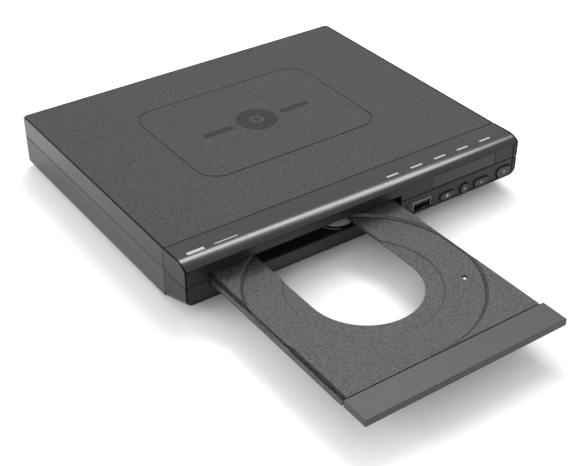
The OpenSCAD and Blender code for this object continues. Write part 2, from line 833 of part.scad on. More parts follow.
// One tooth of the tray's rack, pointing at the pinion
module rack_tooth(y) {
    tip = PI / 4 * rack_m - addendum * rack_m * tan(pressure) - backlash;
    root = PI / 4 * rack_m + dedendum * rack_m * tan(pressure) - backlash;
    translate([rack_x, y, rack_z[0]]) linear_extrude(rack_z[1] - rack_z[0])
        polygon([[-addendum * rack_m, -tip], [-addendum * rack_m, tip],
            [dedendum * rack_m, root], [dedendum * rack_m + 0.4, root],
            [dedendum * rack_m + 0.4, -root], [dedendum * rack_m, -root]]);
}

module tray_door() {
    back = -tray_nose;
    color("#555557") in_frame() translate([tray_x, tray_y, 0]) union() {
        block([-door_w / 2, back - door_d, door_z], [door_w / 2, back, deck_z + door_up]);
        block([-door_w / 2 + 6, back - 0.5, door_z + 0.4], [door_w / 2 - 6, back + door_groove, disc_z - 0.5]);
    }
}

// Loader: base plate, side walls, guides, bearings and the motor's wing
module loader_chassis() {
    y0 = chassis_y[0];
    y1 = chassis_y[1];
    color("#d9d9d6") in_frame() difference() {
        union() {
            block([tray_x - chassis_out, y0, plate_z], [tray_x + chassis_out, y1, plate_z + plate_t]);
            for (sx = [-1, 1]) {
                x = tray_x + (sx > 0 ? chassis_in : -chassis_out);
                t = chassis_out - chassis_in;
                block([x, y0, plate_z], [x + t, y1, deck_z + 1.5]);
                block([x, spindle_y - bridge_half_y, plate_z], [x + t, spindle_y + bridge_half_y, chassis_top]);
                guide = tray_x + (sx > 0 ? rail_half - 1.6 : -chassis_in);
                block([guide, y0, rail_z - 0.15 - ledge_t], [guide + 2.1, y1, rail_z - 0.15]);
                keeper = tray_x + (sx > 0 ? rail_half - 0.7 : -chassis_in);
                for (y = [y0 + 4, y0 + 40, y1 - 30]) {
                    block([keeper, y, rail_top + 0.3], [keeper + 1.2, y + 8, rail_top + 1.5]);
                }
                for (y = ear_y) {
                    x_in = tray_x + sx * (chassis_in + 1);
                    x_out = tray_x + sx * (chassis_out + 4);
                    translate([x_out, y, ear_z]) cylinder(h = ear_t, r = 3.4);
                    block([min(x_in, x_out), y - 3.4, ear_z], [max(x_in, x_out), y + 3.4, ear_z + ear_t]);
                }
                bearing = tray_x + sx * (frame_half + 2.2);
                block([bearing - 1.2, hinge_y - 4, plate_z], [bearing + 1.2, hinge_y + 4, hinge_z + 3.5]);
            }
            translate([drive_x, gear_y, plate_z]) cylinder(h = wheel_z - plate_z, r = post_r + 1.2);
            translate([drive_x, gear_y, plate_z]) cylinder(h = pinion_top - 0.3 - plate_z, r = post_r);
            translate([pulley_x, gear_y, plate_z]) cylinder(h = belt_z - 0.3 - plate_z, r = post_r + 1.2);
            translate([pulley_x, gear_y, plate_z]) cylinder(h = wheel_z + wheel_t - plate_z, r = post_r);
            block([tray_x + chassis_out - 1, wing_y[0], wing_z],
                [motor_x + motor_d / 2 + 1, wing_y[1], wing_z + wing_t]);
            for (y = [wing_y[0], wing_y[1] - 1.2]) {
                block([tray_x + chassis_out - 1, y, plate_z], [motor_x + motor_d / 2 + 1, y + 1.2, wing_z + 0.5]);
            }
            for (y = [cam_y - 0.9, cam_y + cam_t + 0.1]) {
                block([tray_x - 32, y, plate_z], [tray_x + 45, y + 0.8, deckplate_z + 0.5]);
            }
        }
        block([tray_x - pit_half, pit_y[0], 0], [tray_x + pit_half, pit_y[1], case_h]);
        for (sx = [-1, 1]) {
            translate([tray_x + sx * (frame_half + 2.2), hinge_y, hinge_z]) rotate([0, 90, 0])
                cylinder(h = 10, r = hinge_r + fit, center = true);
        }
        for (p = ear_places()) {
            translate([p[0], p[1], 0]) cylinder(h = case_h + 5, r = screw_r3 + 0.15);
        }
        block([tray_x + chassis_in - 1, wing_y[0] + wing_t, belt_z - 0.6],
            [tray_x + chassis_out + 1, wing_y[1] - wing_t, wing_z - 0.05]);
        translate([motor_x, motor_y, 0]) cylinder(h = case_h, r = motor_pulley_r + belt_t + 1.2);
        block([tray_x - chassis_in + 6, spindle_y - 25, 0], [tray_x - pit_half - 6, spindle_y + 60, plate_z + plate_t + 1]);
        block([tray_x + pit_half + 6, spindle_y - 25, 0], [tray_x + chassis_in - 6, spindle_y + 60, plate_z + plate_t + 1]);
    }
}

module loader_screws() {
    color("#8a8a90") in_frame() for (p = ear_places()) {
        translate([p[0], p[1], 0]) pan_screw(ear_z + ear_t, screw_r3, 5, 2.6, 1.3);
    }
}

module loading_motor() {
    color("#b9b9bd") in_frame() translate([motor_x, motor_y, wing_z + wing_t]) difference() {
        union() {
            cylinder(h = motor_h, r = motor_d / 2);
            translate([0, 0, motor_h - 0.5]) cylinder(h = 2, r = 3.5);
            translate([0, 0, -wing_t + 0.4]) cylinder(h = 2, r = 3);
        }
        translate([0, 0, -wing_t]) cylinder(h = motor_h, r = 1 + fit);
    }
}

module motor_pulley() {
    color("#e6e6e2") in_frame() translate([motor_x, motor_y, 0]) {
        translate([0, 0, belt_z]) grooved_pulley(motor_pulley_r);
        translate([0, 0, belt_z + 0.5]) cylinder(h = motor_h - 2, r = 1);
    }
}

// Pulley with a flange on each side of its belt, solid to its axis
module grooved_pulley(r) {
    edge = (pulley_t - belt_w) / 2 - 0.05;
    cylinder(h = pulley_t, r = r);
    cylinder(h = edge, r = r + belt_t * 0.8);
    translate([0, 0, pulley_t - edge]) cylinder(h = edge, r = r + belt_t * 0.8);
}

// Loop round two pulleys: the second lies at the end of a length along X
function belt_loop(ra, rb, length) = let (a = acos((ra - rb) / length))
    concat(arc(0, 0, ra, a, 360 - a, 36), arc(length, 0, rb, -a, a, 18));

module drive_belt() {
    loose = 0.08;
    color("#202022") in_frame() translate([pulley_x, gear_y, belt_z + (pulley_t - belt_w) / 2])
        rotate(atan2(belt_dy, belt_dx)) linear_extrude(belt_w) difference() {
            polygon(belt_loop(pulley_r + belt_t, motor_pulley_r + belt_t, belt_length));
            polygon(belt_loop(pulley_r + loose, motor_pulley_r + loose, belt_length));
        }
}

module pulley_gear() {
    color("#efefea") in_frame() translate([pulley_x, gear_y, 0]) difference() {
        union() {
            translate([0, 0, belt_z]) grooved_pulley(pulley_r);
            translate([0, 0, belt_z]) cylinder(h = pulley_t + 0.5, r = pulley_pinion_r - train_m);
            translate([0, 0, wheel_z]) linear_extrude(wheel_t)
                rotate(180 / pulley_n) polygon(gear_points(train_m, pulley_n));
        }
        cylinder(h = case_h, r = post_r + fit);
    }
}

module drive_gear() {
    color("#efefea") in_frame() translate([drive_x, gear_y, 0]) difference() {
        union() {
            translate([0, 0, wheel_z + 0.1]) linear_extrude(wheel_t) polygon(gear_points(train_m, wheel_n));
            translate([0, 0, wheel_z + wheel_t]) linear_extrude(pinion_top - wheel_z - wheel_t)
                rotate(180 / pinion_n) polygon(gear_points(rack_m, pinion_n));
        }
        cylinder(h = case_h, r = post_r + fit);
    }
}

// Plate that lifts the traverse as it slides, by its two sloping slots
module cam_slider() {
    low = followers_low();
    rise = follower_z - low;
    slope = atan(rise / cam_stroke);
    run = sqrt(rise * rise + cam_stroke * cam_stroke);
    color("#e3e3de") in_frame() difference() {
        block([tray_x - follower_x - cam_stroke - 3, cam_y, cam_z[0]],
            [tray_x + follower_x + 3, cam_y + cam_t, cam_z[1]]);
        for (sx = [-1, 1]) {
            along_y(cam_y - 1, cam_y + cam_t + 1) translate([tray_x + sx * follower_x, low])
                rotate(180 - slope) {
                    translate([0, -follower_r - cam_gap]) square([run, 2 * (follower_r + cam_gap)]);
                    circle(follower_r + cam_gap);
                    translate([run, 0]) circle(follower_r + cam_gap);
                }
        }
    }
}

// Height of the lift frame's followers when the traverse is lowered
function followers_low() = let (dy = cam_y + cam_t / 2 - hinge_y, dz = follower_z - hinge_z)
    hinge_z + dz * cos(lift_angle) + dy * sin(lift_angle);

module lift_frame() {
    y0 = frame_y0;
    color("#cfcfca") in_frame() lowered() difference() {
        union() {
            difference() {
                block([tray_x - frame_half, y0, frame_z], [tray_x + frame_half, frame_y1, frame_z + frame_t]);
                block([tray_x - frame_half + frame_bar, y0 + frame_bar, frame_z - 1],
                    [tray_x + frame_half - frame_bar, frame_y1 - hinge_bar, frame_z + frame_t + 1]);
            }
            for (sx = [-1, 1], y = damper_y) {
                translate([tray_x + sx * damper_x, y, frame_z]) cylinder(h = frame_t, r = damper_r - 0.1);
            }
            for (sx = [-1, 1]) {
                x = tray_x + sx * follower_x;
                block([x - 3, y0, frame_z], [x + 3, y0 + 2.5, follower_z + follower_r]);
                translate([x, cam_y - 0.3, follower_z]) rotate([-90, 0, 0]) cylinder(h = 4, r = follower_r);
                hinge_x = tray_x + sx * (frame_half - 1);
                translate([hinge_x, hinge_y, hinge_z]) rotate([0, sx * 90, 0]) cylinder(h = 4.6, r = hinge_r);
            }
        }
        for (sx = [-1, 1], y = damper_y) {
            translate([tray_x + sx * damper_x, y, frame_z - 1]) cylinder(h = 10, r = screw_r3 + fit);
        }
    }
}

module dampers() {
    color("#26262a") in_frame() lowered() for (sx = [-1, 1], y = damper_y) {
        translate([tray_x + sx * damper_x, y, damper_z]) difference() {
            union() {
                cylinder(h = damper_flange, r = damper_r);
                cylinder(h = 2 * damper_flange + traverse_t, r = waist_r);
                translate([0, 0, damper_flange + traverse_t]) cylinder(h = damper_flange, r = damper_r);
            }
            translate([0, 0, -1]) cylinder(h = 8, r = screw_r3 + 0.2);
        }
    }
}

module damper_screws() {
    color("#8a8a90") in_frame() lowered() for (sx = [-1, 1], y = damper_y) {
        translate([tray_x + sx * damper_x, y, 0])
            pan_screw(damper_z + 2 * damper_flange + traverse_t, screw_r3, 5.4, 2.6, 0.9);
    }
}

module traverse_plate() {
    half = damper_x + damper_r + 0.4;
    color("#9fa0a4") in_frame() lowered() difference() {
        block([tray_x - half, spindle_y - 15.5, traverse_z], [tray_x + half, hinge_y + 1.2, traverse_z + traverse_t]);
        block([tray_x - bay_half, bay_y[0], traverse_z - 1], [tray_x + bay_half, bay_y[1], traverse_z + 3]);
        block([tray_x + feed_x - feed_r - 0.5, feed_y[0] - 0.5, traverse_z - 1],
            [tray_x + feed_x + feed_r + 0.5, bay_y[0] + 1, traverse_z + 3]);
        translate([tray_x, spindle_y, traverse_z - 1]) cylinder(h = 4, r = motor_hole_r);
        for (sx = [-1, 1], y = damper_y) {
            translate([tray_x + sx * damper_x, y, traverse_z - 1]) cylinder(h = 4, r = waist_r + 0.1);
        }
    }
}

module spindle_motor() {
    color("#c7c7cb") in_frame() lowered() translate([tray_x, spindle_y, 0]) difference() {
        union() {
            translate([0, 0, traverse_z + traverse_t]) cylinder(h = 0.8, r = 12.5);
            translate([0, 0, traverse_z - 2.6]) cylinder(h = 2.6 + traverse_t + 0.4, r = motor_hole_r - 0.2);
        }
        translate([0, 0, traverse_z - 1.8]) cylinder(h = case_h, r = 1 + fit);
    }
}

module turntable() {
    color("#2b2b2e") in_frame() lowered() translate([tray_x, spindle_y, 0]) {
        difference() {
            translate([0, 0, seat_z - 1.6]) cylinder(h = 1.6, r = turntable_r);
            translate([0, 0, seat_z - 0.3]) difference() {
                cylinder(h = 1, r = turntable_r - 1.6);
                cylinder(h = 1, r = hub_r + 0.6);
            }
        }
        translate([0, 0, traverse_z + traverse_t + 1]) cylinder(h = seat_z - traverse_z - traverse_t - 1.5, r = 11);
        translate([0, 0, seat_z - 0.5]) cylinder(h = hub_h - 0.5, r = hub_r);
        translate([0, 0, seat_z + hub_h - 1]) cylinder(h = 1, r1 = hub_r, r2 = hub_r - 1.4);
        translate([0, 0, traverse_z - 1.6]) cylinder(h = 4, r = 1);
    }
}

module guide_rods() {
    color("#d0d0d4") in_frame() lowered() for (x = rod_x) {
        translate([tray_x + x, rod_y[0], rod_z]) rotate([-90, 0, 0]) cylinder(h = rod_y[1] - rod_y[0], r = rod_r);
    }
}

module pickup_sled() {
    y0 = lens_y - sled_front;
    y1 = lens_y + sled_back;
    half = bay_half - 0.5;
    color("#8d8e92") in_frame() lowered() difference() {
        union() {
            block([tray_x - half, y0, sled_z[0]], [tray_x + feed_x - screw_r - 1.4, y1, traverse_z - 0.3]);
            block([tray_x - half + 1, y0, traverse_z - 1], [tray_x + 14, y1, sled_z[1]]);
            block([tray_x + 8, y0 + 2, rod_z + screw_r + 0.4], [tray_x + half, y1 - 2, sled_z[1] - 0.6]);
        }
        translate([tray_x + rod_x[0], y0 - 1, rod_z]) rotate([-90, 0, 0]) cylinder(h = y1 - y0 + 2, r = rod_r + fit);
        translate([tray_x + rod_x[1], y0 - 1, rod_z]) rotate([-90, 0, 0]) cylinder(h = y1 - y0 + 2, r = rod_r + fit);
        translate([tray_x, lens_y, sled_z[1] - 1.6]) cylinder(h = 3, r = lens_r + 1);
        translate([tray_x, lens_y, sled_z[0] - 1]) cylinder(h = 12, r = 2);
    }
}

module objective_lens() {
    z = sled_z[1];
    color("#8fb8d8") in_frame() lowered() translate([tray_x, lens_y, z - 1]) {
        difference() {
            cylinder(h = 2, r = lens_r);
            translate([0, 0, 1.2]) cylinder(h = 2, r = lens_r - 1);
        }
        translate([0, 0, 0.8]) cylinder(h = 0.8, r1 = lens_r - 1.2, r2 = 1);
    }
}

module feed_motor() {
    color("#bcbcc0") in_frame() lowered() translate([tray_x + feed_x, 0, rod_z]) difference() {
        union() {
            translate([0, feed_y[0], 0]) rotate([-90, 0, 0]) cylinder(h = feed_y[1] - feed_y[0], r = feed_r);
            block([-screw_r - 1.3, bay_y[1] + 0.1, -screw_r - 1], [screw_r + 1.3, bay_y[1] + 3.1, traverse_z - rod_z]);
        }
        translate([0, feed_y[0] + 1, 0]) rotate([-90, 0, 0])
            cylinder(h = bay_y[1] - feed_y[0] + 1.5, r = screw_r + fit);
    }
}

// Lead screw, with its thread drawn as rings
module lead_screw() {
    y0 = feed_y[0] + 1.3;
    y1 = bay_y[1] + 2;
    color("#a8a8ac") in_frame() lowered() translate([tray_x + feed_x, 0, rod_z]) difference() {
        translate([0, y0, 0]) rotate([-90, 0, 0]) cylinder(h = y1 - y0, r = screw_r);
        for (y = [feed_y[1] + 2:3:bay_y[1] - 2]) {
            translate([0, y, 0]) rotate([-90, 0, 0]) difference() {
                cylinder(h = 0.8, r = screw_r + 1);
                cylinder(h = 0.8, r = screw_r - 0.25);
            }
        }
    }
}

module clamp_bridge() {
    color("#c9c9c6") in_frame() difference() {
        union() {
            block([tray_x - chassis_out, spindle_y - bridge_half_y, bridge_z],
                [tray_x + chassis_out, spindle_y + bridge_half_y, bridge_z + bridge_t]);
            for (dy = [-1, 1]) {
                y = spindle_y + dy * (bridge_half_y - 0.6);
                block([tray_x - chassis_out, y - 0.6, bridge_z], [tray_x - 18, y + 0.6, bridge_z + 2.6]);
                block([tray_x + 18, y - 0.6, bridge_z], [tray_x + chassis_out, y + 0.6, bridge_z + 2.6]);
            }
            translate([tray_x, spindle_y, bridge_z]) cylinder(h = bridge_t, r = puck_r + 4);
        }
        translate([tray_x, spindle_y, bridge_z - 1]) cylinder(h = 6, r = neck_r + 0.5);
    }
}

// Clamp puck: its ring presses the disc, its flange hangs on the bridge
module clamp_puck() {
    top = bridge_z + bridge_t + 0.1;
    color("#e4e4e0") in_frame() translate([tray_x, spindle_y, 0]) difference() {
        union() {
            translate([0, 0, puck_z]) cylinder(h = 2, r = puck_r);
            translate([0, 0, puck_z + 1]) cylinder(h = top - puck_z - 0.9, r = neck_r);
            translate([0, 0, top]) cylinder(h = 1.2, r = puck_r);
        }
        translate([0, 0, puck_z - 1]) cylinder(h = 2.8, r = hub_r + 0.9);
        translate([0, 0, puck_z + 2.6]) cylinder(h = case_h, r = magnet_r + 0.1);
    }
}

module clamp_magnet() {
    color("#3a3a3e") in_frame() translate([tray_x, spindle_y, puck_z + 2.6]) difference() {
        cylinder(h = 2.4, r = magnet_r);
        translate([0, 0, -1]) cylinder(h = 5, r = 2);
    }
}

// Circuit board with its screw holes
module board(x, y, holes) {
    difference() {
        block([x[0], y[0], board_z], [x[1], y[1], board_z + board_t]);
        for (p = holes) translate([p[0], p[1], board_z - 1]) cylinder(h = 4, r = screw_r3 + 0.15);
    }
}

module main_board() {
    color("#2f5d3a") in_frame() board(main_x, main_y, board_places());
}

module decoder_chips() {
    z = board_z + board_t;
    w = main_x[1] - main_x[0];
    color("#232326") in_frame() {
        block([main_x[0] + w * 0.35, main_y[0] + 22, z], [main_x[0] + w * 0.35 + 22, main_y[0] + 44, z + 1.6]);
        block([main_x[0] + w * 0.75, main_y[0] + 20, z], [main_x[0] + w * 0.75 + 9, main_y[0] + 38, z + 1.2]);
        block([main_x[0] + 8, main_y[0] + 12, z], [main_x[0] + 16, main_y[0] + 20, z + 1.4]);
        block([main_x[0] + 8, main_y[0] + 34, z], [main_x[0] + 18, main_y[0] + 40, z + 1.4]);
    }
}

module av_sockets() {
    body = 12;
    color("#e9e9e6") in_frame() for (x = rca_x) translate([x, 0, rca_z]) difference() {
        union() {
            block([-5.5, panel_y - body, board_z + board_t - rca_z], [5.5, panel_y, 5.5]);
            translate([0, panel_y - 1, 0]) rotate([-90, 0, 0]) cylinder(h = 1 + panel_t + rca_out, r = rca_r);
        }
        translate([0, panel_y - body + 3, 0]) rotate([-90, 0, 0]) cylinder(h = case_h, r = 1.65);
    }
}

module video_socket() {
    depth = 11;
    end = case_d - wall - 0.3;
    color("#b4b4b8") in_frame() translate([video_x, 0, video_z]) difference() {
        along_y(end - depth, end) square([video_w, video_h], center = true);
        difference() {
            along_y(end - depth + 3, end + 1) square([video_w - 0.7, video_h - 0.7], center = true);
            along_y(end - depth, end - 1.5) square([video_w - 3.2, 1], center = true);
        }
    }
}

module mains_inlet() {
    depth = 15;
    color("#1d1d20") in_frame() translate([inlet_x, case_d - wall, inlet_z]) union() {
        difference() {
            union() {
                along_y(-depth, wall - 0.2) square([inlet_w - 0.2, inlet_h - 0.2], center = true);
                along_y(-3, 0) square([inlet_w + 3, inlet_h + 3], center = true);
            }
            along_y(-12, wall) obround(16.2, 8.2);
        }
        for (sx = [-1, 1]) translate([sx * 4.3, 0, 0]) along_y(-13, -1.5) circle(1.2);
    }
}

module power_board() {
    color("#8a6a3a") in_frame() board(power_x, power_y, board_places());
}

module transformer() {
    z = board_z + board_t;
    x = power_x[0] + 6;
    y = power_y[1] - 32;
    color("#c8a64a") in_frame() union() {
        block([x, y, z], [x + 20, y + 5, z + 16]);
        block([x, y + 17, z], [x + 20, y + 22, z + 16]);
        translate([x + 10, y + 2, z + 8]) rotate([-90, 0, 0]) cylinder(h = 18, r = 7.6);
    }
}

module capacitors() {
    z = board_z + board_t;
    color("#2c2c50") in_frame() union() {
        translate([power_x[1] - 12, power_y[0] + 16, z]) cylinder(h = 17, r = 6.3);
        translate([power_x[1] - 8, power_y[0] + 34, z]) cylinder(h = 12, r = 4);
        translate([power_x[1] - 18, power_y[0] + 36, z]) cylinder(h = 12, r = 4);
        translate([main_x[0] + 32, main_y[0] + 10, z]) cylinder(h = 9, r = 3.2);
        translate([main_x[0] + 42, main_y[0] + 10, z]) cylinder(h = 9, r = 3.2);
    }
}

module heat_sink() {
    z = board_z + board_t;
    x = power_x[0] + 2;
    y = power_y[0] + 13;
    color("#9a9a9e") in_frame() union() {
        block([x, y, z], [x + 16, y + 1.6, z + 15]);
        for (i = [0:4]) block([x + 3.6 * i, y + 1, z], [x + 3.6 * i + 1.2, y + 8, z + 15]);
    }
}

// Flat cable from the main board, under the loader, to the traverse's pit
module ribbon_cable() {
    t = 0.15;
    w = 12;
    y = ear_y[1] + 5.3;
    x0 = tray_x + pit_half - 4;
    x1 = main_x[0] - 2;
    color("#dcdcd8") in_frame() translate([0, y, 0]) union() {
        block([x0, 0, floor_z], [x1, w, floor_z + t]);
        block([x1 - t, 0, floor_z], [x1, w, board_z + board_t + 2]);
        block([x1 - t, 0, board_z + board_t + 2], [main_x[0] + 3, w, board_z + board_t + 2 + t]);
    }
}

module board_screws() {
    color("#8a8a90") in_frame() for (p = board_places()) {
        translate([p[0], p[1], 0]) pan_screw(board_z + board_t, screw_r3, 4.6, 2.6, 1.3);
    }
}

module case_screws() {
    color("#707074") in_frame() for (sx = [-1, 1], y = column_y) {
        translate([sx * (side - column_inset), y, 0]) mirror([0, 0, 1])
            pan_screw(-base_z - 3, case_screw_r, roof_z - base_z - 8, column_r - 1, 1.6);
    }
}

module rubber_feet() {
    color("#1b1b1d") in_frame() for (sx = [-1, 1], y = foot_y) {
        translate([sx * foot_x, y, 0]) rotate_extrude()
            polygon([[0, 0], [foot_d / 2 - 0.8, 0], [foot_d / 2, 0.8], [foot_d / 2, base_z], [0, base_z]]);
    }
}

top_cover();
bottom_case();
rear_panel();
upper_bezel();
lower_bezel();
gloss_strip();
display_window();
stop_button();
play_button();
eject_button();
power_button();
media_socket();
media_tongue();
front_board();
display_module();
tact_switches();
disc_tray();
tray_door();
loader_chassis();
loader_screws();
loading_motor();
motor_pulley();
drive_belt();
pulley_gear();
drive_gear();
cam_slider();
lift_frame();
dampers();
damper_screws();
traverse_plate();
spindle_motor();
turntable();
guide_rods();
pickup_sled();
objective_lens();
feed_motor();
lead_screw();
clamp_bridge();
clamp_puck();
clamp_magnet();
main_board();
decoder_chips();
av_sockets();
video_socket();
power_board();
transformer();
capacitors();
heat_sink();
mains_inlet();
ribbon_cable();
board_screws();
case_screws();
rubber_feet();
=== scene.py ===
"""Looks of a compact disc player with its loading tray out. Everything is in metres."""
import json
from math import cos, radians, sin

import bmesh
import bpy
from mathutils import Matrix, Vector


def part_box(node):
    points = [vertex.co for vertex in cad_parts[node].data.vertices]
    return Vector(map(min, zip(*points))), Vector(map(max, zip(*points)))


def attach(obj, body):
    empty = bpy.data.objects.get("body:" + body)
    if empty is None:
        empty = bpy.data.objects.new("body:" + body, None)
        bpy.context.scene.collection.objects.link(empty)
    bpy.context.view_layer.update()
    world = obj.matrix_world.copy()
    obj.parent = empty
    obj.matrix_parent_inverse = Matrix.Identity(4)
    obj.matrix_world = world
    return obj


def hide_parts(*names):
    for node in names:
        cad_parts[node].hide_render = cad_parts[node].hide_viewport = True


MM = 0.001
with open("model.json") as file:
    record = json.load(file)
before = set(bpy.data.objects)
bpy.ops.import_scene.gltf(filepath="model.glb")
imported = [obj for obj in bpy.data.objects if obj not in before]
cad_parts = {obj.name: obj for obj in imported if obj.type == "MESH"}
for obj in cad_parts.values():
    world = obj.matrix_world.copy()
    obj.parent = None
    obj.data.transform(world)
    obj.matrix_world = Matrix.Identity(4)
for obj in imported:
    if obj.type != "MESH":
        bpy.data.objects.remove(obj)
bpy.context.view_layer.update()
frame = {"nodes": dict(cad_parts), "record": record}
BEHAVIOUR = frame["record"]["behaviour"]
JOINTS = {joint["name"]: joint for joint in BEHAVIOUR["joints"]}
SPINDLE = JOINTS["clamp_spin"]["pos_m"]
TRAY_TRAVEL = JOINTS["tray_slide"]["range_m"][1]
TRAY_CENTRE_Y = SPINDLE[1] - TRAY_TRAVEL
BODY_OF = {node: body for body, nodes in BEHAVIOUR["bodies"].items() for node in nodes}


# Shader arithmetic and nodes

class Field:
    """A shader socket that takes part in arithmetic."""

    def __init__(self, finish, socket):
        self.finish, self.socket = finish, socket

    def combine(self, operation, *others):
        return self.finish.add("ShaderNodeMath", {"operation": operation}, dict(enumerate((self,) + others)))

    def __add__(self, other):
        return self.combine("ADD", other)

    def __sub__(self, other):
        return self.combine("SUBTRACT", other)

    def __mul__(self, other):
        return self.combine("MULTIPLY", other)

    def __gt__(self, other):
        return self.combine("GREATER_THAN", other)

    def __lt__(self, other):
        return self.combine("LESS_THAN", other)

    def __rsub__(self, other):
        return self.finish.add("ShaderNodeMath", {"operation": "SUBTRACT"}, {0: other, 1: self})

    __radd__, __rmul__ = __add__, __mul__


class Finish:
    """A material built on one Principled shader."""

    def __init__(self, name, **constants):
        self.material = bpy.data.materials.new(name)
        self.material.use_nodes = True
        self.tree = self.material.node_tree
        self.shader = self.tree.nodes["Principled BSDF"]
        for socket, value in constants.items():
            self.shader.inputs[socket.replace("_", " ")].default_value = value

    def add(self, kind, settings=None, sockets=None, output=0):
        """A node of this kind: its settings first, then the values or links of its sockets."""
        node = self.tree.nodes.new(kind)
        for key, value in (settings or {}).items():
            if key == "stops":
                ramp = node.color_ramp
                while len(ramp.elements) < len(value):
                    ramp.elements.new(0.5)
                for element, (position, colour) in zip(ramp.elements, value):
                    element.position, element.color = position, colour
            else:
                setattr(node, key, value)
        for key, value in (sockets or {}).items():
            if isinstance(value, Field):
                self.tree.links.new(value.socket, node.inputs[key])
            else:
                node.inputs[key].default_value = value
        return Field(self, node.outputs[output])

    def feed(self, socket, field):
        self.tree.links.new(field.socket, self.shader.inputs[socket])
        return self

    def place(self, stretch=(1, 1, 1)):
        """Object coordinates, stretched for a grain that runs one way."""
        here = self.add("ShaderNodeTexCoord", output="Object")
        return self.add("ShaderNodeMapping", None, {"Vector": here, "Scale": stretch})

    def axis(self, index):
        here = self.add("ShaderNodeTexCoord", output="Object")
        return self.add("ShaderNodeSeparateXYZ", None, {0: here}, output=index)

    def noise(self, size, detail=2.0, rough=0.5, stretch=(1, 1, 1)):
        """Noise whose features are about this size across."""
        return self.add("ShaderNodeTexNoise", None, {"Vector": self.place(stretch), "Scale": 1 / size,
                                                     "Detail": detail, "Roughness": rough})

    def between(self, mask, low, high):
        """Colour that runs from low to high with the mask."""
        low, high = [c if isinstance(c, Field) else (*c, 1) for c in (low, high)]
        return self.add("ShaderNodeMix", {"data_type": "RGBA"}, {0: mask, 6: low, 7: high}, output=2)

    def ramp(self, field, low, high):
        """Field rescaled so that low gives 0 and high gives 1, and clamped."""
        return self.add("ShaderNodeMapRange", {"clamp": True}, {0: field, 1: low, 2: high})

    def root(self, field):
        return self.add("ShaderNodeMath", {"operation": "SQRT"}, {0: field})

    def size(self, field):
        return self.add("ShaderNodeMath", {"operation": "ABSOLUTE"}, {0: field})

    def clip(self, field):
        return self.ramp(field, 0.0, 1.0)

    def relief(self, height, depth, strength=1.0):
        bump = self.add("ShaderNodeBump", None, {"Height": height, "Distance": depth, "Strength": strength})
        return self.feed("Normal", bump)


def grey(value, warmth=0.0):
    return (value * (1 + warmth), value, value * (1 - warmth))


def shade(colour, factor):
    return tuple(c * factor for c in colour)


def moulded(name, colour, rough=0.45, grain=0.0006, depth=0.00002, speckle=0.12, coat=0.0):
    """Moulded plastic with a fine grain, faint cloudiness and slightly uneven gloss."""
    f = Finish(name, Coat_Weight=coat, Coat_Roughness=0.25, Specular_IOR_Level=0.28)
    fine = f.noise(grain, 3.0, 0.6)
    cloud = f.noise(0.03, 2.0)
    tone = f.ramp(fine * 0.75 + cloud * 0.25, 0.3, 0.7)
    f.feed("Base Color", f.between(tone, shade(colour, 1 - speckle), shade(colour, 1 + speckle)))
    f.feed("Roughness", f.ramp(cloud, 0.2, 0.8) * 0.08 + (rough - 0.04))
    return f.relief(fine, depth)


# Width of the painted shade line along the cover's free edges.
EDGE_SHADE_WIDTH = 0.0009
DISC_OUTER, DISC_HUB, DISC_HOLE = 0.0125, 0.0045, 0.0022
BAR_HALF_WIDTH, BAR_START, BAR_END = 0.0022, 0.0165, 0.037


def painted_edge_shade(f, low, high):
    """Mask of the painted shade: a dark line beside each free edge of the cover's top, for the shade at its edge."""
    x, y = f.axis(0), f.axis(1)
    return (x < low.x + EDGE_SHADE_WIDTH) + (x > high.x - EDGE_SHADE_WIDTH) + (y > high.y - EDGE_SHADE_WIDTH)


def cover_print(f):
    """A plain disc pictogram with a bar at each side, in the middle of the cover's top."""
    low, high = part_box("top_cover")
    x = f.axis(0) - (low.x + high.x) / 2
    y = f.axis(1) - (low.y + high.y) / 2
    reach = f.root(x * x + y * y)
    disc = (reach < DISC_OUTER) * (reach > DISC_HUB) + (reach < DISC_HOLE)
    bars = (f.size(y) < BAR_HALF_WIDTH) * (f.size(x) > BAR_START) * (f.size(x) < BAR_END)
    return f.clip(disc + bars)


def cover_finish():
    """Grained on its top and satin on its sides, which carry painted light that grows towards the back."""
    f = Finish("cover_grain", Specular_IOR_Level=0.22)
    fine = f.noise(0.0007, 4.0, 0.75)
    coarse = f.noise(0.0024, 2.0)
    cloud = f.noise(0.05, 2.0)
    facing = f.add("ShaderNodeNewGeometry", output="Normal")
    up = f.add("ShaderNodeSeparateXYZ", None, {0: facing}, output=2)
    top = f.ramp(up, 0.6, 0.9)
    grain = f.ramp(fine * 0.9 + coarse * 0.1, 0.4, 0.6)
    low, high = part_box("top_cover")
    # Painted light: the sides run from darker at the front to lighter at the back, as if lit from the left and
    # behind.
    painted_light_to_back = f.ramp(f.axis(1), low.y, high.y)
    tone = f.between(grain, grey(0.010), grey(0.052))
    side = f.between(painted_light_to_back, grey(0.030), grey(0.085))
    side = f.between(f.ramp(cloud, 0.3, 0.7) * 0.2, side, grey(0.06))
    # Painted shade: the cover's top is darkened to near black along its free edges.
    dark = f.between(f.clip(painted_edge_shade(f, low, high)), tone, grey(0.004))
    printed = f.between(cover_print(f), dark, grey(0.008))
    f.feed("Base Color", f.between(top, side, printed))
    f.feed("Roughness", top * 0.16 + 0.36 + f.ramp(fine, 0.3, 0.7) * 0.06)
    return f.relief(grain * top, 0.00003, 0.6)


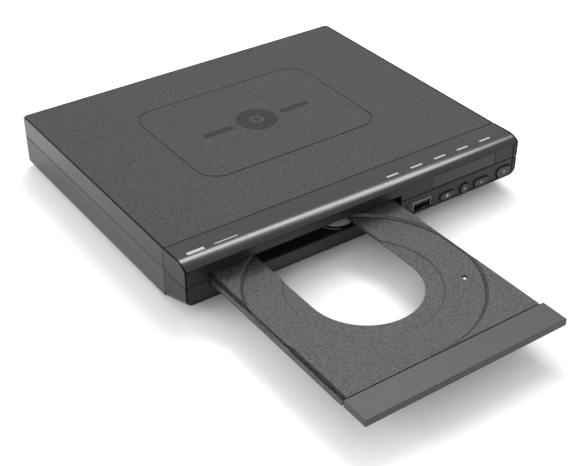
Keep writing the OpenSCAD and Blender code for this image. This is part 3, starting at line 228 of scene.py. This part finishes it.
def polished(name, colour, rough=0.07):
    """Polished plastic with a few faint hairlines."""
    f = Finish(name, Coat_Weight=0.1, Coat_Roughness=0.04, Specular_IOR_Level=0.3)
    hair = f.noise(0.0006, 2.0, 0.6, (0.04, 1, 1))
    cloud = f.noise(0.04)
    f.feed("Base Color", f.between(f.ramp(cloud, 0.3, 0.7), shade(colour, 0.85), shade(colour, 1.15)))
    f.feed("Roughness", f.ramp(hair, 0.45, 0.75) * 0.05 + rough)
    return f.relief(hair, 0.000004, 0.3)


WIDE_BAR, THIN_BAR = (-0.105, -0.095), (-0.089, -0.075)
BADGES, BADGE_HALF_PITCH = (0.0175, 0.1025), 0.0085


def within(field, limits):
    return (field > limits[0]) * (field < limits[1])


def strip_finish():
    """Near-black gloss with two printed bars at the left and five small badges at the right."""
    f = Finish("strip_gloss", Specular_IOR_Level=0.55)
    low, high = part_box("gloss_strip")
    x, y = f.axis(0) - (low.x + high.x) / 2, f.axis(1) - low.y
    hair = f.noise(0.0006, 2.0, 0.6, (0.04, 1, 1))
    row = within(y, (0.0072, 0.0108))
    left = within(x, WIDE_BAR) * (y > 0.0086) + within(x, THIN_BAR) * within(y, (0.0092, 0.0099))
    across = f.add("ShaderNodeMath", {"operation": "PINGPONG"}, {0: x - BADGES[0], 1: BADGE_HALF_PITCH})
    badges = (across > 0.0045) * within(x, BADGES) * within(y, (0.0085, 0.0098))
    mark = f.clip(left * row + badges)
    f.feed("Base Color", f.between(mark, grey(0.006), grey(0.34)))
    f.feed("Roughness", f.ramp(hair, 0.45, 0.75) * 0.04 + mark * 0.2 + 0.2)
    return f.relief(hair, 0.000004, 0.3)


RECESS_RADII = (0.0605, 0.0405)
RECESS_LINE_HALF = 0.0003


def tray_finish():
    """Strong grain, with the shadow line at the foot of each recess wall."""
    f = Finish("tray_grain", Specular_IOR_Level=0.28)
    fine = f.noise(0.0009, 4.0, 0.7)
    x, y = f.axis(0) - SPINDLE[0], f.axis(1) - TRAY_CENTRE_Y
    reach = f.root(x * x + y * y)
    rings = [f.size(reach - radius) < RECESS_LINE_HALF for radius in RECESS_RADII]
    line = f.clip(rings[0] + rings[1]) * (f.axis(2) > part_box("disc_tray")[1].z - 0.004)
    grain = f.between(f.ramp(fine, 0.4, 0.6), grey(0.018), grey(0.074))
    f.feed("Base Color", f.between(line, grain, grey(0.006)))
    f.feed("Roughness", f.ramp(fine, 0.3, 0.7) * 0.08 + 0.46)
    return f.relief(fine, 0.00006)


def key_finish(node, sign):
    """Satin key with a plain transport sign printed on its cap."""
    f = Finish(node + "_satin", Specular_IOR_Level=0.3)
    low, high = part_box(node)
    x, z = f.axis(0) - (low.x + high.x) / 2, f.axis(2) - (low.z + high.z) / 2
    fine = f.noise(0.0006, 3.0)
    half = 0.0009
    box = (f.size(x) < half) * (f.size(z) < half)
    if sign == "wedge":
        box = box * (f.size(z) * 2 < half - x)
    elif sign == "ring":
        reach = f.root(x * x + z * z)
        box = (reach < half) * (reach > half * 0.55)
    elif sign == "lift":
        box = box * (f.clip((f.size(x) < half * 0.5 - z * 0.5) * (z > -half * 0.3) + (z < -half * 0.55)))
    cap = f.between(f.ramp(fine, 0.3, 0.7), grey(0.022), grey(0.032))
    f.feed("Base Color", f.between(box, cap, grey(0.3)))
    f.feed("Roughness", f.ramp(fine, 0.3, 0.7) * 0.06 + 0.36)
    return f.relief(fine, 0.000006)


def metal(name, colour, rough, stretch=(1, 1, 1), grain=0.0008, depth=0.000006, spots=0.0):
    """Plated, rolled, ground or cast metal: the grain runs across its longest stretch."""
    f = Finish(name, Metallic=1.0)
    lines = f.noise(grain, 4.0, 0.65, stretch)
    patch = f.noise(0.012, 3.0, 0.6)
    tone = f.ramp(lines * 0.5 + patch * 0.5, 0.3, 0.7)
    low = shade(colour, 0.8 - spots)
    f.feed("Base Color", f.between(tone, low, shade(colour, 1.08)))
    f.feed("Roughness", f.ramp(patch, 0.3, 0.7) * 0.12 + rough)
    return f.relief(lines, depth, 0.5)


def rubbery(name, value):
    f = Finish(name, Specular_IOR_Level=0.3)
    dust = f.noise(0.004, 4.0, 0.7)
    fine = f.noise(0.0005, 2.0)
    f.feed("Base Color", f.between(f.ramp(dust, 0.4, 0.75), grey(value), grey(value * 1.9)))
    f.feed("Roughness", f.ramp(dust, 0.3, 0.7) * 0.15 + 0.7)
    return f.relief(fine, 0.00002, 0.6)


def board_finish(name, mask_colour, track_colour, pitch):
    """Circuit board: tracks under the solder resist, with bright pads along them."""
    f = Finish(name, Coat_Weight=0.4, Coat_Roughness=0.12)
    here = f.place()
    cells = f.add("ShaderNodeTexVoronoi", {"distance": "MANHATTAN", "feature": "F1"},
                  {"Vector": here, "Scale": 1 / pitch, "Randomness": 0.35})
    edge = f.add("ShaderNodeTexVoronoi", {"distance": "CHEBYCHEV", "feature": "F1"},
                 {"Vector": here, "Scale": 0.45 / pitch, "Randomness": 0.7})
    stripe = f.add("ShaderNodeTexWave", {"wave_type": "BANDS", "bands_direction": "DIAGONAL"},
                   {"Vector": here, "Scale": 60.0, "Distortion": 2.0, "Detail": 0.0})
    track = f.ramp(stripe * 0.5 + edge * 0.5, 0.48, 0.52)
    pad = cells < 0.16
    base = f.between(track, mask_colour, track_colour)
    f.feed("Base Color", f.between(pad, base, (0.72, 0.71, 0.68)))
    f.feed("Metallic", pad * 0.9)
    f.feed("Roughness", 0.42 - track * 0.08)
    return f.relief(track + pad, 0.00004, 0.6)


def two_part(name, mask_of, low, high, metal_high=0.0, rough=(0.4, 0.3)):
    """Two finishes on one solid, parted by a mask."""
    f = Finish(name)
    mask = mask_of(f)
    fine = f.noise(0.0007, 3.0)
    tone = f.ramp(fine, 0.3, 0.7)
    dark = f.between(tone, shade(low, 0.9), shade(low, 1.1))
    light = f.between(tone, shade(high, 0.9), shade(high, 1.1))
    f.feed("Base Color", f.between(mask, dark, light))
    f.feed("Metallic", mask * metal_high)
    f.feed("Roughness", mask * (rough[1] - rough[0]) + rough[0])
    return f.relief(fine, 0.00001, 0.4)


def socket_finish():
    """Phono sockets: housings, plated barrels and a coloured face in each mouth."""
    low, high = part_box("av_sockets")
    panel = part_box("rear_panel")[1].y
    f = Finish("phono_sockets")
    fine = f.noise(0.0006, 3.0)
    x, y, z = (f.axis(i) for i in range(3))
    out = f.ramp(y, panel - 0.0015, panel - 0.0012)
    pitch = (high.x - low.x - 0.011) / 3
    first = low.x + 0.0055
    across = f.add("ShaderNodeMath", {"operation": "PINGPONG"}, {0: x - (first - pitch), 1: pitch / 2})
    up = z - (high.z - 0.0055)
    reach = f.add("ShaderNodeMath", {"operation": "SQRT"}, {0: across * across + up * up})
    face = (reach < 0.0033) * (y > high.y - 0.0004)
    which = f.ramp(x, first - pitch / 2, first + 3.5 * pitch)
    tint = f.add("ShaderNodeValToRGB", {"stops": [(0.0, (0.02, 0.02, 0.02, 1)), (0.25, (0.75, 0.55, 0.03, 1)),
                                                  (0.5, (0.7, 0.7, 0.68, 1)), (0.75, (0.5, 0.02, 0.02, 1))]},
                 {0: which})
    f.tree.nodes[-1].color_ramp.interpolation = "CONSTANT"
    housing = f.between(f.ramp(fine, 0.3, 0.7), grey(0.055), grey(0.075))
    barrel = f.between(f.ramp(fine, 0.3, 0.7), grey(0.55), grey(0.72))
    shell = f.between(out, housing, barrel)
    f.feed("Base Color", f.between(face, shell, tint))
    f.feed("Metallic", out * (1 - face))
    f.feed("Roughness", 0.45 - out * 0.2)
    return f.relief(fine, 0.00001, 0.4)


def ribbon_finish():
    f = Finish("flat_cable")
    stripe = f.add("ShaderNodeTexWave", {"wave_type": "BANDS", "bands_direction": "Y"},
                   {"Vector": f.place(), "Scale": 160.0})
    f.feed("Base Color", f.between(f.ramp(stripe, 0.4, 0.6), (0.78, 0.78, 0.76), (0.42, 0.46, 0.55)))
    f.feed("Roughness", 0.5 - stripe * 0.1)
    return f.relief(stripe, 0.00005, 0.5)


WHITE_PLASTIC = (0.70, 0.69, 0.66)
FINISHES = {
    "top_cover": cover_finish(),
    "case": moulded("case_satin", grey(0.045), 0.42, 0.0007, 0.000006, 0.08),
    "bezel": moulded("bezel_satin", grey(0.009), 0.36, 0.0006, 0.000006, 0.10),
    "panel": moulded("panel_matte", grey(0.025), 0.55, 0.0006, 0.00002),
    "strip": strip_finish(),
    "window": polished("window_smoke", grey(0.009), 0.12),
    "stop": key_finish("stop_button", "block"), "play": key_finish("play_button", "wedge"),
    "eject": key_finish("eject_button", "lift"), "power": key_finish("power_button", "ring"),
    "tray": tray_finish(),
    "door": moulded("door_satin", grey(0.038), 0.4, 0.0007, 0.000008, 0.16),
    "natural": moulded("natural_plastic", WHITE_PLASTIC, 0.4, 0.001, 0.000006, 0.04),
    "gear": moulded("gear_acetal", (0.8, 0.79, 0.75), 0.32, 0.001, 0.000004, 0.03, 0.2),
    "black_part": moulded("black_plastic", grey(0.02), 0.35, 0.0008, 0.00001, 0.15),
    "resin": moulded("chip_resin", grey(0.018), 0.6, 0.0004, 0.00002, 0.25),
    "nickel": metal("nickel_plate", grey(0.72, 0.02), 0.18, (0.2, 1, 1)),
    "steel_can": metal("steel_can", grey(0.62, 0.01), 0.24, (1, 1, 0.1)),
    "zinc_sheet": metal("zinc_sheet", grey(0.66), 0.3, (0.1, 1, 1), 0.0006, 0.000008, 0.1),
    "ground_steel": metal("ground_steel", grey(0.78), 0.1, (1, 0.08, 1), 0.0004),
    "die_cast": metal("die_cast", grey(0.42), 0.42, (1, 1, 1), 0.0009, 0.00003, 0.1),
    "screw": metal("screw_zinc", grey(0.6, 0.03), 0.22, (1, 1, 0.2), 0.0005),
    "black_screw": metal("screw_black", grey(0.12), 0.35, (1, 1, 0.2), 0.0005),
    "aluminium": metal("extruded_aluminium", grey(0.75), 0.3, (1, 1, 0.05), 0.0005),
    "magnet": metal("sintered_magnet", grey(0.16), 0.5, (1, 1, 1), 0.0005, 0.00003),
    "foot": rubbery("foot_rubber", 0.018),
    "belt": rubbery("belt_rubber", 0.022),
    "green_board": board_finish("signal_board", (0.012, 0.06, 0.022), (0.02, 0.11, 0.04), 0.0035),
    "brown_board": board_finish("power_laminate", (0.30, 0.19, 0.07), (0.22, 0.13, 0.045), 0.005),
    "lens": polished("lens_coating", (0.10, 0.16, 0.42), 0.03),
    "socket": socket_finish(),
    "ribbon": ribbon_finish(),
    "sleeve": two_part("capacitor_sleeve", lambda f: f.add("ShaderNodeSeparateXYZ", None, {
        0: f.add("ShaderNodeNewGeometry", output="Normal")}, output=2) > 0.9,
        (0.02, 0.025, 0.09), grey(0.7), 1.0),
    "winding": two_part("wound_coil", lambda f: f.ramp(f.noise(0.0004, 1.0, 0.5, (0.02, 1, 0.02)), 0.4, 0.6),
                        (0.55, 0.36, 0.08), (0.75, 0.56, 0.16)),
    "floor": moulded("studio_floor", grey(0.86), 0.6, 0.02, 0.0, 0.01),
}
NODE_FINISH = {
    "case": ["bottom_case"], "bezel": ["upper_bezel", "lower_bezel"], "panel": ["rear_panel"],
    "strip": ["gloss_strip"], "window": ["display_window"], "tray": ["disc_tray"], "door": ["tray_door"],
    "stop": ["stop_button"], "play": ["play_button"], "eject": ["eject_button"], "power": ["power_button"],
    "nickel": ["media_socket", "video_socket"], "green_board": ["front_board", "main_board"],
    "natural": ["display_module", "lift_frame", "cam_slider"],
    "gear": ["motor_pulley", "pulley_gear", "drive_gear", "clamp_puck"],
    "black_part": ["tact_switches", "turntable", "mains_inlet", "loader_chassis", "media_tongue"],
    "resin": ["decoder_chips"],
    "screw": ["loader_screws", "damper_screws", "board_screws"], "black_screw": ["case_screws"],
    "steel_can": ["loading_motor", "spindle_motor", "feed_motor"], "belt": ["drive_belt", "dampers"],
    "zinc_sheet": ["traverse_plate", "clamp_bridge"], "ground_steel": ["guide_rods", "lead_screw"],
    "die_cast": ["pickup_sled"], "lens": ["objective_lens"], "magnet": ["clamp_magnet"],
    "brown_board": ["power_board"], "winding": ["transformer"], "sleeve": ["capacitors"],
    "aluminium": ["heat_sink"], "ribbon": ["ribbon_cable"], "foot": ["rubber_feet"],
    "socket": ["av_sockets"], "top_cover": ["top_cover"],
}
FINISH_OF = {node: FINISHES[name] for name, nodes in NODE_FINISH.items() for node in nodes}


# Pieces

def add_piece(name, mesh, finish, body):
    """A finished mesh as a piece that rides on a CAD body."""
    piece = bpy.data.objects.new(name, mesh)
    bpy.context.scene.collection.objects.link(piece)
    mesh.materials.clear()
    mesh.materials.append(FINISHES[finish].material if isinstance(finish, str) else finish.material)
    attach(piece, body)
    return piece


def eased(node, width, segments=2, limit=35):
    """A CAD node with its sharp edges eased, standing for the node."""
    mesh = frame["nodes"][node].data.copy()
    bm = bmesh.new()
    bm.from_mesh(mesh)
    bmesh.ops.remove_doubles(bm, verts=bm.verts, dist=1e-6)
    bmesh.ops.dissolve_limit(bm, angle_limit=radians(0.4), verts=bm.verts, edges=bm.edges)
    for face in bm.faces:
        face.smooth = True
    bm.to_mesh(mesh)
    bm.free()
    mesh.set_sharp_from_angle(angle=radians(limit))
    piece = add_piece(node + "_eased", mesh, FINISH_OF[node], BODY_OF[node])
    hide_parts(node)
    bevel = piece.modifiers.new("Eased edges", "BEVEL")
    bevel.width = width
    bevel.segments = segments
    bevel.limit_method = "ANGLE"
    bevel.angle_limit = radians(limit)
    bevel.use_clamp_overlap = False
    bevel.harden_normals = True
    weighted = piece.modifiers.new("Even shading", "WEIGHTED_NORMAL")
    weighted.keep_sharp = True
    return piece


for node, cad in frame["nodes"].items():
    cad.data.materials.clear()
    cad.data.materials.append(FINISH_OF[node].material)

EASED = {"top_cover": 0.18, "bottom_case": 0.18, "upper_bezel": 0.12, "lower_bezel": 0.15, "gloss_strip": 0.16,
         "disc_tray": 0.12, "tray_door": 0.22, "display_window": 0.08, "rubber_feet": 0.3}
for node, width in EASED.items():
    eased(node, width * MM)


# Stage, light and camera

def floor_plane(size):
    bm = bmesh.new()
    bmesh.ops.create_grid(bm, x_segments=1, y_segments=1, size=size)
    mesh = bpy.data.meshes.new("studio_floor")
    bm.to_mesh(mesh)
    bm.free()
    plane = bpy.data.objects.new("studio_floor", mesh)
    bpy.context.scene.collection.objects.link(plane)
    mesh.materials.append(FINISHES["floor"].material)


def soft_box(name, place, target, width, height, power):
    light = bpy.data.lights.new(name, "AREA")
    light.shape, light.size, light.size_y, light.energy = "RECTANGLE", width, height, power
    lamp = bpy.data.objects.new(name, light)
    bpy.context.scene.collection.objects.link(lamp)
    aim = Vector(target) - Vector(place)
    lamp.matrix_world = Matrix.Translation(place) @ aim.to_track_quat("-Z", "Y").to_matrix().to_4x4()


floor_plane(30.0)
world = bpy.data.worlds.new("studio")
world.use_nodes = True
world.node_tree.nodes["Background"].inputs["Color"].default_value = (1, 1, 1, 1)
world.node_tree.nodes["Background"].inputs["Strength"].default_value = 0.86
bpy.context.scene.world = world
soft_box("strip_glint", (0.45, 0.42, 0.95), (-0.05, -0.02, 0.03), 1.0, 0.22, 9)
soft_box("left_side", (-1.5, 0.7, 0.7), (0, 0.05, 0), 1.2, 0.9, 16)
soft_box("front_left", (-0.9, -1.3, 1.0), (0, 0, 0), 0.7, 0.7, 7)

VIEW_AZIMUTH, VIEW_HEIGHT, VIEW_DISTANCE = -34.99, 34.63, 0.65397
VIEW_TARGET = Vector((-28.34, -1.66, 4.0)) * MM
VIEW_LENS, VIEW_ROLL = 73.8, 0.06
lens = bpy.data.cameras.new("camera")
lens.lens, lens.sensor_width = VIEW_LENS, 36.0
camera = bpy.data.objects.new("camera", lens)
bpy.context.scene.collection.objects.link(camera)
level = cos(radians(VIEW_HEIGHT))
offset = Vector((sin(radians(VIEW_AZIMUTH)) * level, -cos(radians(VIEW_AZIMUTH)) * level, sin(radians(VIEW_HEIGHT))))
camera.matrix_world = (Matrix.Translation(VIEW_TARGET + offset * VIEW_DISTANCE)
                       @ (-offset).to_track_quat("-Z", "Y").to_matrix().to_4x4()
                       @ Matrix.Rotation(radians(VIEW_ROLL), 4, "Z"))
bpy.context.scene.camera = camera
bpy.context.scene.view_settings.view_transform = "Standard"
